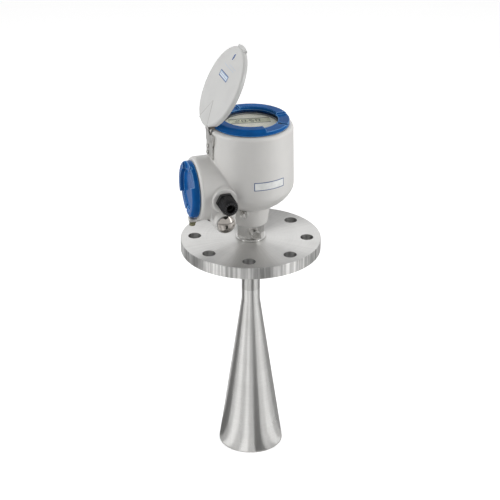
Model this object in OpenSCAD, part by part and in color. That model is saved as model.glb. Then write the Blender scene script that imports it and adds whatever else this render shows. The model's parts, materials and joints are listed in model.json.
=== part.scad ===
// Radar level transmitter with a flanged process connection and a horn antenna.
// Frame: +Z up, the origin on the axis in the sealing face of the flange. The housing's
// terminal compartment looks towards -X and its cable entries towards -Y.

/* [Process flange] */
// Outside diameter of the flange
flange_d = 200; // [190:1:230]
// Thickness of the flange, raised face included
flange_t = 20; // [16:0.5:26]
// Diameter of the raised sealing face
raised_d = 138; // [110:1:140]
// Height of the raised sealing face
raised_h = 2; // [2:0.5:3]
// Diameter of the bolt circle
bolt_circle_d = 160; // [158:1:168]
// Diameter of each bolt hole
bolt_hole_d = 18; // [14:1:18]
// Number of bolt holes
bolt_count = 8; // [4:4:12]
// Angle of the first bolt hole from the +X side
bolt_angle = 26.3; // [0:0.1:45]
// Chamfer on the flange's edges
flange_edge = 1; // [0.5:0.1:2]

/* [Horn antenna] */
// Outside diameter of the horn at its mouth
mouth_d = 95; // [60:1:120]
// Distance from the sealing face down to the mouth
horn_reach = 316; // [240:1:400]
// Length of the straight tube under the sealing face
tube_len = 78; // [50:1:110]
// Outside diameter of the straight tube
tube_d = 26.6; // [25:0.2:28]
// Wall of the tube and the horn
horn_wall = 1.6; // [1.2:0.1:2.2]
// Depth of the seat in the flange that takes the tube's end
tube_seat = 6; // [4:0.5:8]
// Length of the tapered tip of the window in the tube
window_tip = 34; // [20:1:40]
// Length of the window's straight stretch
window_body = 22; // [14:1:26]

/* [Feed stub and coupling] */
// Bore of the waveguide through the stub
guide_d = 18; // [14:0.5:19]
// Diameter of the stub where it passes through the flange
stub_root_d = 30; // [29:0.5:34]
// Diameter of the stub's collar on the flange
collar_d = 44; // [42:1:50]
// Height of the collar
collar_h = 4; // [3:0.5:6]
// Diameter of the spigot that the housing turns on
spigot_d = 26; // [25:0.5:27]
// Height of the spigot above the collar
spigot_h = 38; // [36:1:44]
// Width across the flats of the hexagonal coupling
hex_af = 34; // [33:0.5:36]
// Height of the hexagonal coupling
hex_h = 20; // [19:0.5:24]
// Diameter of the coupling's threaded upper end
hex_spigot_d = 39.8; // [37:0.2:41]
// Length of the coupling's threaded upper end
hex_spigot_h = 12; // [8:1:14]

/* [Lock screw] */
// Thread diameter of the lock screw
lock_d = 8; // [6:0.5:8]
// Height of the lock screw's axis above the collar
lock_rise = 9.4; // [9:0.1:10]
// Width across the flats of the socket in the lock screw
lock_socket_af = 6; // [4:0.5:6]

/* [Housing drum] */
// Diameter of the drum at the foot of its wall
drum_d = 121; // [116:0.5:126]
// Diameter of the drum below its shoulder
drum_top_d = 118; // [116:0.5:121]
// Height at which the drum's wall starts, above the sealing face
drum_foot_z = 107; // [106:0.5:109]
// Height of the drum's top face above the sealing face
drum_top_z = 193; // [190:1:200]
// Radius of the drum's shoulder
shoulder_r = 5.5; // [4:0.5:6]
// Radius of the rounding at the foot of the wall
foot_r = 20; // [16:1:24]
// Radius of the belly under the drum
belly_r = 50; // [48:1:56]
// Diameter of the neck at its lower end
neck_d = 48; // [46:1:50]
// Diameter of the neck where the belly meets it
neck_top_d = 56; // [54:1:58]
// Diameter of the drum's cavity
cavity_d = 95; // [93:1:97]
// Height of the cavity's floor above the sealing face
cavity_floor_z = 112; // [108:1:118]

/* [Window cover] */
// Thread diameter of the window cover
window_thread_d = 98; // [97:0.5:99]
// Outside diameter of the window cover
window_cover_d = 107; // [105:0.5:107]
// Height of the window cover's rim
window_cover_h = 9; // [8.5:0.5:10]
// Diameter of the opening over the glass
window_open_d = 76; // [66:1:78]
// Diameter of the glass
glass_d = 87.4; // [86:0.2:88]
// Thickness of the glass
glass_t = 5; // [4:0.5:6]
// Length of the window cover's thread
window_thread_len = 12; // [10:1:13]
// Depth of the two grip recesses in the rim
grip_depth = 3.6; // [2:0.2:4]
// Angle that each grip recess spans
grip_angle = 88; // [60:1:100]
// Rise of a cover in one turn
cover_pitch = 2; // [1.5:0.5:2]
// Thickness of the flat cover gaskets
gasket_t = 1; // [0.8:0.1:1.5]

/* [Terminal compartment] */
// Outside diameter of the terminal compartment
term_d = 90; // [88:1:92]
// Height of the compartment's axis above the sealing face
term_z = 105; // [103:0.5:107]
// Distance from the drum's axis to the compartment's rim
term_reach = 83; // [80:1:92]
// Thread diameter of the terminal cover
term_thread_d = 75; // [73:0.5:76]
// Outside diameter of the terminal cover
term_cover_d = 80; // [79:0.5:82]
// Height of the terminal cover's rim
term_cover_h = 10.5; // [9:0.5:12]
// Depth of the compartment from its rim
term_depth = 31; // [28:1:31]
// Length of the terminal cover's thread
term_thread_len = 10; // [8:1:11]
// Rounding of the compartment's rim
term_edge_r = 4.5; // [3:0.5:5]

/* [Cable entries] */
// Distance of both entries from the drum's axis, towards -X
entry_x = 51.5; // [49:0.5:54]
// Height of the upper entry above the sealing face
entry_top_z = 103; // [101:0.5:106]
// Height of the lower entry above the sealing face
entry_low_z = 70.5; // [68:0.5:72]
// Bore of each entry
entry_bore_d = 20.4; // [16:0.2:20.4]
// Diameter of the upper entry's boss
boss_d = 36; // [34:1:38]
// Diameter of the lower entry's boss
boss_low_d = 29; // [28:0.5:31]
// Distance from the drum's axis to the upper boss face
boss_reach = 50; // [48:1:52]
// Distance from the drum's axis to the lower boss face
boss_low_reach = 53; // [51:1:56]
// Width across the flats of the gland's collar
gland_af = 24; // [23:0.5:26]
// Diameter of the gland's cap nut
gland_nut_d = 23.2; // [22.5:0.2:24]
// Length of the gland's cap nut
gland_nut_len = 19; // [17:0.5:22]
// Cable diameter that the gland's seal is bored for
gland_seal_d = 9; // [6:0.5:10]
// Diameter of the blind plug's head
plug_d = 25; // [24:0.5:27]
// Height of the blind plug's dome
plug_dome_h = 5; // [4:0.5:6]

/* [Sun cover] */
// Diameter of the sun cover
lid_d = 116.6; // [116.6:0.2:119]
// Depth of the sun cover from its skirt's edge to its outer face
lid_h = 6.5; // [5.5:0.5:8]
// Sheet thickness of the sun cover
lid_t = 1.5; // [1.2:0.1:1.5]
// Rounding of the sun cover's outer edge
lid_edge_r = 3; // [2:0.5:4]
// Distance from the drum's axis to the hinge axis
hinge_x = 60.5; // [60:0.5:63]
// Height of the hinge axis above the drum's top face
hinge_rise = 9.5; // [8.5:0.5:10.5]
// Angle by which the sun cover stands open
lid_open = 62; // [0:1:100]
// Diameter of the hinge barrel
barrel_d = 9; // [7.6:0.2:9]
// Diameter of the hinge pin
pin_d = 4.4; // [3.6:0.2:5]
// Width of the hinge bracket's barrel
bracket_barrel_w = 18; // [14:1:20]
// Width of each of the sun cover's hinge ears
ear_w = 6.5; // [5:0.5:8]
// Thickness of the hinge bracket's sheet
bracket_t = 1.8; // [1.5:0.1:2.2]
// Angle that the hinge bracket spans on the drum
bracket_angle = 34; // [28:1:36]
// Height of the hinge bracket's lower edge above the sealing face
bracket_foot_z = 152; // [151:0.5:155]

/* [Display] */
// Angle by which the display is turned about the drum's axis
display_turn = -8; // [-90:1:90]
// Width of the display's glass
lcd_w = 58; // [40:1:60]
// Depth of the display's glass
lcd_l = 18; // [12:1:20]
// Distance from the drum's axis to the middle of the display's glass
lcd_y = 12; // [8:0.5:14]
// Diameter of each key
key_d = 7; // [5:0.5:8]
// Spacing of the keys
key_gap = 12; // [10:0.5:13]
// Travel of each key
key_travel = 0.6; // [0.4:0.1:1]

/* [Hidden] */
$fn = 96;

// Clearances
run_gap = 0.3;          // radial gap between parts that turn in each other
fit_gap = 0.1;          // radial gap between parts that are fixed in each other
key_gap_r = 0.2;        // radial gap round a key

// Levels of the process connection
face_top_z = flange_t;
collar_z = face_top_z + collar_h;
spigot_z = collar_z + spigot_h;
neck_z = collar_z + hex_h;

// Seals of the waveguide
seal_step = 2.1;            // height of the step that the window's seal lies on
stub_groove_w = 2.6;        // width of the groove in the spigot
stub_groove_depth = 1.7;
stub_groove_z = spigot_z - 9;

// Levels under the drum, where two arcs lead from the wall to the neck
foot_turn = 28;                                             // where the belly's arc starts
foot_end_r = drum_d/2 - foot_r*(1 - cos(foot_turn));
foot_end_z = drum_foot_z - foot_r*sin(foot_turn);
belly_turn = acos(cos(foot_turn) - (foot_end_r - neck_top_d/2)/belly_r);
belly_end_z = foot_end_z - belly_r*(sin(belly_turn) - sin(foot_turn));

// Levels of the window cover and the display
gasket_z = drum_top_z + gasket_t;
window_top_z = gasket_z + window_cover_h;
window_lip_t = 4.7;
glass_z = window_top_z - window_lip_t;
retainer_h = 4;
window_bore_d = glass_d + 2*run_gap;
retainer_bore_d = window_open_d + 0.6;
bezel_d = retainer_bore_d - 1.4;
bezel_t = 6;
bezel_z = glass_z - glass_t - 1.2;                          // top face of the bezel
module_z = bezel_z - bezel_t;                               // top face of the module
module_step_z = drum_top_z - window_thread_len - 2;
lcd_t = 1.2;
key_y = -21;
key_z = bezel_z + key_travel + 0.4;

// Terminals
terminal_count = 4;
terminal_pitch = 12;
terminal_y = [for (i = [0:terminal_count - 1]) (i - (terminal_count - 1)/2)*terminal_pitch];
block_t = 12;               // size of the terminal block along the compartment's axis
block_w = 52;
block_h = 24;
clamp_rise = -5;            // height of the terminals' screws against the block's middle
wire_d = 8;                 // diameter of the wires' way into the drum
wire_z = term_z + 24;

// Cover stop under the terminal compartment's rim
stop_gap = 0.6;
stop_screw_d = 5;
stop_x = -term_reach - 4.5;
stop_y = -7;
stop_top_z = term_z - term_cover_d/2 - stop_gap;
lug_t = 4;
saddle_t = 3;
stop_head_h = 4;

// Distances along the terminal compartment's axis
term_cover_s = term_reach + gasket_t;
term_floor_s = term_reach - term_depth;
term_cavity_d = term_thread_d - 3;

// Distances along the cable entries
gland_face_y = boss_reach;
gland_collar_h = 6.5;
gland_tube_len = 12;
slip_ring_t = 1;
gland_nut_y = gland_face_y + gland_collar_h + slip_ring_t;  // inner end of the cap nut
gland_thread_d = gland_nut_d - 4.6;
gland_bore_d = 14;
entry_floor_y = 14;                                         // inner end of each entry's bore
entry_thread_len = 11;
plug_seal_t = 1.2;
plug_face_y = boss_low_reach + plug_seal_t;

// Hinge of the sun cover
hinge_z = drum_top_z + hinge_rise;
lid_reach = 52.1;                                           // from the hinge axis to its middle
lid_x = lid_reach - hinge_x;                                // middle of the closed cover
lid_rim_z = window_top_z + 0.5;                             // edge of its skirt
lid_top_z = lid_rim_z + lid_h;                              // outer face of the closed cover
ridge_len = 30;             // pressed ridge on the cover's face, widening towards its hinge
ridge_half_w = 18;
ridge_rise = 1.8;
tab_angle = 28;             // finger tab at the edge opposite the hinge
tab_reach = 3.5;
lid_gap = run_gap;                                          // gap between the hinge's ears
pin_head_t = 1.2;
pin_len = bracket_barrel_w + 2*ear_w + 2*lid_gap + 3;
strap_lift = 0.15;                                          // gap between drum and bracket
strap_step_z = bracket_foot_z + 21;                         // where the bracket grows wider
bracket_screw_d = 3.2;
bracket_screw_z = [bracket_foot_z + 6, bracket_foot_z + 15];

// Undercut of the coupling's threaded end
undercut_d = 6;
undercut_h = 1.5;

// Lock screw and earth screw
lock_z = collar_z + lock_rise;
lock_head_d = lock_d*1.625;
lock_washer_t = 1.6;
earth_angle = 233;
earth_z = 67.5;
earth_face_r = 29.5;
earth_d = 4;
earth_boss_d = 13;

// ---- Shared shapes ---------------------------------------------------------------------

// Points on an arc round (cx, cy), from angle a0 to a1
function arc(cx, cy, r, a0, a1, n) =
    [for (i = [0:n]) let (a = a0 + (a1 - a0)*i/n) [cx + r*cos(a), cy + r*sin(a)]];

// Places its children with +Z turned to -X on the terminal compartment's axis
module along_terminal() {
    translate([0, 0, term_z]) rotate([0, -90, 0]) children();
}

// Places its children with +Z turned to -Y at an entry
module along_entry(z) {
    translate([-entry_x, 0, z]) rotate([90, 0, 0]) children();
}

// A flat ring from z0 to z1
module ring(d_out, d_in, z0, z1) {
    difference() {
        translate([0, 0, z0]) cylinder(h = z1 - z0, d = d_out);
        translate([0, 0, z0 - 1]) cylinder(h = z1 - z0 + 2, d = d_in);
    }
}

// A round ring of a seal, its middle at height z
module seal_ring(d_mid, d_cord, z) {
    translate([0, 0, z]) rotate_extrude() translate([d_mid/2, 0]) circle(d = d_cord, $fn = 32);
}

// ---- Process connection ----------------------------------------------------------------

module flange() {
    r = flange_d/2;
    e = flange_edge;
    color("lightgray") difference() {
        rotate_extrude() polygon([
            [0, 0], [raised_d/2, 0], [raised_d/2, raised_h], [r - e, raised_h],
            [r, raised_h + e], [r, flange_t - e], [r - e, flange_t], [0, flange_t]]);
        for (i = [0:bolt_count - 1]) rotate(bolt_angle + i*360/bolt_count)
            translate([bolt_circle_d/2, 0, -1]) cylinder(h = flange_t + 2, d = bolt_hole_d);
        translate([0, 0, -1]) cylinder(h = tube_seat + 1, d = tube_d + fit_gap);
        translate([0, 0, tube_seat]) cylinder(h = flange_t, d = stub_root_d + fit_gap);
    }
}

module feed_stub() {
    r = spigot_d/2;
    groove_r = r - stub_groove_depth;
    groove_low = stub_groove_z - stub_groove_w/2;
    groove_high = stub_groove_z + stub_groove_w/2;
    lock_half = lock_d*0.4;
    color("silver") rotate_extrude() polygon([
        [guide_d/2, tube_seat], [stub_root_d/2, tube_seat], [stub_root_d/2, face_top_z],
        [collar_d/2 - 0.8, face_top_z], [collar_d/2, face_top_z + 0.8],
        [collar_d/2, collar_z - 0.8], [collar_d/2 - 0.8, collar_z],
        [r, collar_z], [r, lock_z - lock_half], [r - 1.2, lock_z - lock_half],
        [r - 1.2, lock_z + lock_half], [r, lock_z + lock_half],
        [r, groove_low], [groove_r, groove_low], [groove_r, groove_high],
        [r, groove_high], [r, spigot_z - 0.8], [r - 0.8, spigot_z], [guide_d/2, spigot_z]]);
}

module stub_seal_ring() {
    cord = stub_groove_depth + run_gap - fit_gap;
    color("black") seal_ring(spigot_d - 2*stub_groove_depth + cord, cord, stub_groove_z);
}

module antenna_horn() {
    w = horn_wall;
    // the wall is measured square to the cone
    slope = atan((mouth_d - tube_d)/2/(horn_reach - tube_len));
    skin = w/cos(slope);
    knee = w*tan(slope/2);
    color("silver") rotate_extrude() polygon([
        [tube_d/2 - w, tube_seat], [tube_d/2, tube_seat], [tube_d/2, -tube_len],
        [mouth_d/2, -horn_reach], [mouth_d/2 - skin, -horn_reach],
        [tube_d/2 - w, -tube_len - knee]]);
}

module antenna_window() {
    r = tube_d/2 - horn_wall - fit_gap;
    top = tube_seat;
    neck = guide_d/2 - fit_gap;
    color("white") rotate_extrude() polygon([
        [0, top], [neck, top], [neck, top - seal_step], [r, top - seal_step],
        [r, top - window_body],
        [1.2, top - window_body - window_tip], [0, top - window_body - window_tip - 0.6]]);
}

module window_seal_ring() {
    cord = seal_step - 0.3;
    color("black")
        seal_ring(tube_d - 2*horn_wall - cord - 2*fit_gap, cord, tube_seat - seal_step/2);
}

module coupling_hex() {
    corner = hex_af/cos(30)/2;
    color("silver") difference() {
        union() {
            intersection() {
                translate([0, 0, collar_z]) cylinder(h = hex_h, r = corner, $fn = 6);
                rotate_extrude() polygon([
                    [0, collar_z], [corner - 1.2, collar_z], [corner + 0.1, collar_z + 0.9],
                    [corner + 0.1, neck_z - 0.9], [corner - 1.2, neck_z], [0, neck_z]]);
            }
            // threaded end, with an undercut at its root
            translate([0, 0, neck_z - 1])
                cylinder(h = hex_spigot_h + 1, d = hex_spigot_d - undercut_d);
            translate([0, 0, neck_z + undercut_h])
                cylinder(h = hex_spigot_h - undercut_h, d = hex_spigot_d);
        }
        translate([0, 0, collar_z - 1])
            cylinder(h = spigot_h + 2, d = spigot_d + 2*run_gap);
        translate([0, 0, lock_z]) rotate([90, 0, 0]) cylinder(h = hex_af, d = lock_d + 2*run_gap);
    }
}

module lock_washer() {
    color("silver") translate([0, -hex_af/2, lock_z]) rotate([90, 0, 0])
        ring(lock_head_d + 1, lock_d + 2*run_gap, 0, lock_washer_t);
}

module lock_screw() {
    head_y = lock_washer_t;
    shank = hex_af/2 - spigot_d/2;
    color("dimgray") translate([0, -hex_af/2, lock_z]) rotate([90, 0, 0]) difference() {
        union() {
            rotate_extrude() polygon([
                [0, head_y], [lock_head_d/2, head_y], [lock_head_d/2, head_y + lock_d - 0.8],
                [lock_head_d/2 - 0.8, head_y + lock_d], [0, head_y + lock_d]]);
            translate([0, 0, -shank]) cylinder(h = shank + head_y + 1, d = lock_d);
            translate([0, 0, -shank - 0.8]) cylinder(h = 1.8, d = lock_d*0.6);
        }
        translate([0, 0, head_y + lock_d/2])
            cylinder(h = lock_d, r = lock_socket_af/2/cos(30), $fn = 6);
    }
}

// ---- Housing ---------------------------------------------------------------------------

// Outside of the drum, its belly and the neck
module drum_body() {
    rotate_extrude() polygon(concat(
        [[0, neck_z], [neck_d/2 - 1.5, neck_z], [neck_d/2, neck_z + 1.5],
            [neck_top_d/2, belly_end_z]],
        [for (i = [5:-1:0])
            let (a = foot_turn + (belly_turn - foot_turn)*i/6)
                [foot_end_r - belly_r*(cos(foot_turn) - cos(a)),
                    foot_end_z - belly_r*(sin(a) - sin(foot_turn))]],
        [for (i = [3:-1:0])
            let (a = foot_turn*i/4)
                [drum_d/2 - foot_r*(1 - cos(a)), drum_foot_z - foot_r*sin(a)]],
        arc(drum_top_d/2 - shoulder_r, drum_top_z - shoulder_r, shoulder_r, 0, 90, 6),
        [[0, drum_top_z]]));
}

// Outside of the terminal compartment, tapered where it runs into the neck
module compartment_body() {
    r = term_d/2;
    along_terminal() rotate_extrude() polygon(concat(
        [[0, 8], [18, 8], [r, 40]],
        arc(r - term_edge_r, term_reach - term_edge_r, term_edge_r, 0, 90, 6),
        [[0, term_reach]]));
}

// Outline of the block that carries both entries: two circles and their common tangents
module entry_outline(r1, r2) {
    rise = entry_top_z - entry_low_z;
    lean = asin((r1 - r2)/rise);
    translate([0, entry_top_z]) circle(r = r1);
    translate([0, entry_low_z]) circle(r = r2);
    polygon([
        [-r1*cos(lean), entry_top_z - r1*sin(lean)], [-r2*cos(lean), entry_low_z - r2*sin(lean)],
        [r2*cos(lean), entry_low_z - r2*sin(lean)], [r1*cos(lean), entry_top_z - r1*sin(lean)]]);
}

module entry_block() {
    translate([-entry_x, 0, 0]) rotate([90, 0, 0]) {
        translate([0, 0, 6]) linear_extrude(height = boss_reach - 6 - 7)
            entry_outline(boss_d/2 + 1.5, boss_low_d/2 + 1.5);
    }
    along_entry(entry_top_z) rotate_extrude() polygon([
        [0, 30], [boss_d/2 + 1.5, 30], [boss_d/2 + 1.5, boss_reach - 7],
        [boss_d/2, boss_reach - 5.5], [boss_d/2, boss_reach - 1],
        [boss_d/2 - 1, boss_reach], [0, boss_reach]]);
    along_entry(entry_low_z) rotate_extrude() polygon([
        [0, 30], [boss_low_d/2 + 1.5, 30], [boss_low_d/2 + 1.5, boss_reach - 7],
        [boss_low_d/2, boss_reach - 4], [boss_low_d/2, boss_low_reach - 0.8],
        [boss_low_d/2 - 0.8, boss_low_reach], [0, boss_low_reach]]);
}

// Boss on the neck that the earth screw goes into
module earth_boss() {
    rotate(earth_angle) translate([0, 0, earth_z]) rotate([0, 90, 0])
        translate([0, 0, neck_d/2 - 4])
            cylinder(h = earth_face_r - neck_d/2 + 4, d = earth_boss_d);
}

// Lug under the compartment's rim that the cover stop is screwed into
module stop_lug() {
    translate([stop_x - 4.5, stop_y - 6, stop_top_z - lug_t]) cube([14, 12, lug_t]);
}

module housing() {
    color("gainsboro") difference() {
        union() {
            drum_body();
            compartment_body();
            entry_block();
            earth_boss();
            stop_lug();
        }
        // drum cavity and the window cover's thread
        translate([0, 0, cavity_floor_z]) cylinder(h = 200, d = cavity_d);
        translate([0, 0, drum_top_z - window_thread_len - 1])
            cylinder(h = 200, d = window_thread_d);
        // way through the neck
        translate([0, 0, neck_z - 1])
            cylinder(h = hex_spigot_h + 3, d = hex_spigot_d + 2*fit_gap);
        translate([0, 0, neck_z]) cylinder(h = 100, d = guide_d + 2);
        translate([0, 0, neck_z]) cylinder(h = spigot_h - hex_h + 2, d = spigot_d + 2);
        // terminal compartment
        along_terminal() {
            translate([0, 0, term_floor_s]) cylinder(h = 100, d = term_cavity_d);
            translate([0, 0, term_reach - term_thread_len - 1])
                cylinder(h = 100, d = term_thread_d);
        }
        // cable entries
        for (z = [entry_top_z, entry_low_z]) along_entry(z)
            translate([0, 0, entry_floor_y]) cylinder(h = 100, d = entry_bore_d);
        // wires' way from the terminals to the drum
        translate([0, 0, wire_z]) rotate([0, -90, 0])
            translate([0, 0, cavity_d/2 - 6]) cylinder(h = 20, d = wire_d);
        // threads of the earth screw, the cover stop and the bracket's screws
        rotate(earth_angle) translate([0, 0, earth_z]) rotate([0, 90, 0])
            translate([0, 0, earth_face_r - 8]) cylinder(h = 20, d = earth_d + 2*run_gap);
        translate([stop_x, stop_y, stop_top_z - 20])
            cylinder(h = 40, d = stop_screw_d + 2*run_gap);
        for (z = bracket_screw_z) translate([0, 0, z]) rotate([0, -90, 0])
            translate([0, 0, drum_top_d/2 - 6])
                cylinder(h = 20, d = bracket_screw_d + 2*fit_gap);
    }
}

module radar_module() {
    color("darkslategray") union() {
        rotate_extrude() polygon([
            [0, cavity_floor_z], [cavity_d/2 - 1.5, cavity_floor_z],
            [cavity_d/2 - 1.5, module_step_z], [window_bore_d/2 - 1, module_step_z],
            [window_bore_d/2 - 1, module_z], [0, module_z]]);
        // coupler down the neck to the waveguide
        translate([0, 0, spigot_z + 0.5])
            cylinder(h = cavity_floor_z - spigot_z + 1, d = guide_d + 1);
    }
}

module wire_feedthrough() {
    color("saddlebrown") translate([0, 0, wire_z]) rotate([0, -90, 0])
        translate([0, 0, cavity_d/2 - 0.5])
            cylinder(h = term_floor_s - cavity_d/2 + 2, d = wire_d - 2*fit_gap);
}

// ---- Display ---------------------------------------------------------------------------

function key_x(i) = (i - 1.5)*key_gap;

module display_bezel() {
    color("whitesmoke") rotate(display_turn) difference() {
        rotate_extrude() polygon([
            [0, module_z], [bezel_d/2, module_z], [bezel_d/2, bezel_z - 0.8],
            [bezel_d/2 - 0.8, bezel_z], [0, bezel_z]]);
        translate([-lcd_w/2 - fit_gap, lcd_y - lcd_l/2 - fit_gap, bezel_z - lcd_t])
            cube([lcd_w + 2*fit_gap, lcd_l + 2*fit_gap, 5]);
        for (i = [0:3]) translate([key_x(i), key_y, module_z - 1])
            cylinder(h = 20, d = key_d + 2*key_gap_r);
        for (i = [0:3]) translate([key_x(i), key_y, module_z - 1])
            cylinder(h = 1 + bezel_t - 2, d = key_d + 2 + 2*key_gap_r);
    }
}

module display_glass() {
    color("lightyellow") rotate(display_turn)
        translate([-lcd_w/2, lcd_y - lcd_l/2, bezel_z - lcd_t]) cube([lcd_w, lcd_l, lcd_t - 0.2]);
}

// One key: a cap with a flange under the bezel that keeps it in
module display_key(i) {
    color("lightsteelblue") rotate(display_turn) translate([key_x(i), key_y, 0])
        rotate_extrude() polygon([
            [0, module_z + key_travel + 0.1], [key_d/2 + 1, module_z + key_travel + 0.1],
            [key_d/2 + 1, bezel_z - 2], [key_d/2, bezel_z - 2], [key_d/2, key_z - 0.5],
            [key_d/2 - 0.5, key_z], [0, key_z]]);
}

module key_up() { display_key(0); }
module key_down() { display_key(1); }
module key_enter() { display_key(2); }
module key_back() { display_key(3); }

// ---- Window cover ----------------------------------------------------------------------

module window_gasket() {
    color("black") ring(window_cover_d - 2, window_thread_d + 0.8, drum_top_z, gasket_z);
}

// Two opposite recesses that a hand or a key turns a cover by, cut down from height top
module grip_recesses(d_out, d_in, top, depth, angle, mid) {
    for (turn = [0, 180]) rotate(turn + mid) {
        rotate(-angle/2) rotate_extrude(angle = angle)
            polygon([[d_in/2, top - depth], [d_out/2 + 1, top - depth],
                [d_out/2 + 1, top + 1], [d_in/2, top + 1]]);
        translate([d_in/2 + 2.5, -2.5, top - depth - 2]) cube([d_out, 5, 10]);
    }
}

module window_ring() {
    thread_r = window_thread_d/2 - run_gap;
    r = window_cover_d/2;
    top = window_top_z;
    color("royalblue") difference() {
        rotate_extrude() polygon(concat(
            [[window_bore_d/2, drum_top_z - window_thread_len],
                [thread_r, drum_top_z - window_thread_len], [thread_r, gasket_z],
                [r, gasket_z], [r, top - 4.5]],
            arc(r - 4.5, top - 4.5, 4.5, 15, 90, 5),
            [[window_open_d/2 + 1, top], [window_open_d/2, top - 1],
                [window_open_d/2, glass_z], [window_bore_d/2, glass_z]]));
        grip_recesses(window_cover_d, window_open_d - 2, top, grip_depth, grip_angle, -39);
    }
}

module window_glass() {
    color([0.8, 0.9, 0.95, 0.4]) translate([0, 0, glass_z - glass_t])
        cylinder(h = glass_t, d = glass_d);
}

module glass_retainer() {
    z = glass_z - glass_t;
    color("silver") ring(glass_d, retainer_bore_d, z - retainer_h, z);
}

// ---- Terminal compartment's inside and cover -------------------------------------------

module terminal_block() {
    color("darkgreen") difference() {
        translate([-term_floor_s - block_t, -block_w/2, term_z - block_h/2])
            cube([block_t, block_w, block_h]);
        // a well for each screw, and a slot below it for the wire
        for (y = terminal_y) {
            translate([-term_floor_s - block_t - 1, y, term_z + clamp_rise]) rotate([0, 90, 0])
                cylinder(h = 8, d = 6.4);
            translate([-term_floor_s - 7, y - 2.6, term_z - block_h/2 - 1])
                cube([5.2, 5.2, 8]);
        }
    }
}

module terminal_screws() {
    color("silver") for (y = terminal_y)
        translate([-term_floor_s - block_t + 0.6, y, term_z + clamp_rise]) rotate([0, 90, 0])
        difference() {
            cylinder(h = 5.8, d = 6);
            translate([-4, -0.4, -1]) cube([8, 0.8, 2]);
        }
}

module terminal_gasket() {
    color("black") along_terminal()
        ring(term_cover_d - 1, term_thread_d + 0.8, term_reach, term_cover_s);
}

module terminal_cover() {
    thread_r = term_thread_d/2 - run_gap;
    r = term_cover_d/2;
    top = term_cover_s + term_cover_h;
    floor_s = term_cover_s + 5;
    color("royalblue") along_terminal() difference() {
        rotate_extrude() polygon(concat(
            [[0, term_cover_s + 1], [thread_r - 4, term_cover_s + 1],
                [thread_r - 4, term_reach - term_thread_len],
                [thread_r, term_reach - term_thread_len], [thread_r, term_cover_s],
                [r, term_cover_s], [r, top - 4.5]],
            arc(r - 4.5, top - 4.5, 4.5, 15, 90, 5),
            [[r - 10, top], [r - 11.5, floor_s], [0, floor_s]]));
        grip_recesses(term_cover_d, term_cover_d - 30, top, grip_depth, grip_angle, -20);
    }
}

// Saddle between the cover stop's head and the lug
module stop_saddle() {
    color("darkkhaki") difference() {
        translate([stop_x - 4, stop_y - 5, stop_top_z - lug_t - saddle_t])
            cube([8, 10, saddle_t - 0.02]);
        translate([stop_x, stop_y, stop_top_z - lug_t - saddle_t - 1])
            cylinder(h = 10, d = stop_screw_d + 2*run_gap);
    }
}

module stop_screw() {
    color("darkkhaki") translate([stop_x, stop_y, stop_top_z - lug_t - saddle_t]) difference() {
        union() {
            cylinder(h = lug_t + saddle_t, d = stop_screw_d);
            translate([0, 0, -stop_head_h]) cylinder(h = stop_head_h, d = 8.5);
        }
        translate([0, 0, -stop_head_h - 1]) cylinder(h = 3.4, r = 4/2/cos(30), $fn = 6);
    }
}

// ---- Cable gland and blind plug --------------------------------------------------------

module gland_body() {
    corner = gland_af/cos(30)/2;
    y = gland_face_y;
    color([0.1, 0.1, 0.1]) along_entry(entry_top_z) difference() {
        union() {
            intersection() {
                translate([0, 0, y]) cylinder(h = gland_collar_h, r = corner, $fn = 6);
                rotate_extrude() polygon([
                    [0, y], [corner - 1.4, y], [corner, y + 1], [corner, y + gland_collar_h - 1],
                    [corner - 1.4, y + gland_collar_h], [0, y + gland_collar_h]]);
            }
            translate([0, 0, y - entry_thread_len])
                cylinder(h = entry_thread_len + 1, d = entry_bore_d - 2*run_gap);
            translate([0, 0, y + gland_collar_h - 1])
                cylinder(h = gland_tube_len + 1, d = gland_thread_d);
        }
        translate([0, 0, y - 20]) cylinder(h = 60, d = gland_bore_d);
    }
}

module gland_seal() {
    y0 = gland_face_y + 4;
    y1 = gland_face_y + gland_collar_h + gland_tube_len;
    color([0.15, 0.15, 0.15]) along_entry(entry_top_z)
        ring(gland_bore_d - 2*fit_gap, gland_seal_d, y0, y1);
}

module gland_slip_ring() {
    y = gland_face_y + gland_collar_h;
    color("black") along_entry(entry_top_z)
        ring(gland_nut_d - 0.6, gland_thread_d + 2*run_gap, y, y + slip_ring_t);
}

module gland_nut() {
    y0 = gland_nut_y;
    y1 = y0 + gland_nut_len;
    r = gland_nut_d/2;
    bore_r = gland_thread_d/2 + run_gap;
    color([0.1, 0.1, 0.1]) along_entry(entry_top_z) difference() {
        rotate_extrude() polygon([
            [bore_r, y0], [r, y0], [r, y1 - 5], [r - 0.7, y1 - 2], [r - 2.6, y1],
            [6, y1], [6, y1 - 3], [bore_r, y1 - 6]]);
        for (a = [0:30:330]) rotate(a) translate([r + 0.5, 0, y0 + 2])
            cylinder(h = gland_nut_len - 8, r = 1.1, $fn = 16);
    }
}

module plug_seal_ring() {
    color("black") along_entry(entry_low_z)
        ring(plug_d - 1.4, entry_bore_d, boss_low_reach, plug_face_y);
}

module blind_plug() {
    y = plug_face_y;
    r = plug_d/2;
    sphere_r = (r*r + plug_dome_h*plug_dome_h)/(2*plug_dome_h);
    span = asin(r/sphere_r);
    color("silver") along_entry(entry_low_z) union() {
        rotate_extrude() polygon(concat(
            [[0, y], [r, y]],
            arc(0, y + 1.2 + plug_dome_h - sphere_r, sphere_r, 90 - span, 90, 8)));
        translate([0, 0, y - entry_thread_len])
            cylinder(h = entry_thread_len + 1, d = entry_bore_d - 2*run_gap);
    }
}

// ---- Earth terminal --------------------------------------------------------------------

module at_earth() {
    rotate(earth_angle) translate([0, 0, earth_z]) rotate([0, 90, 0])
        translate([0, 0, earth_face_r]) children();
}

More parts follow.
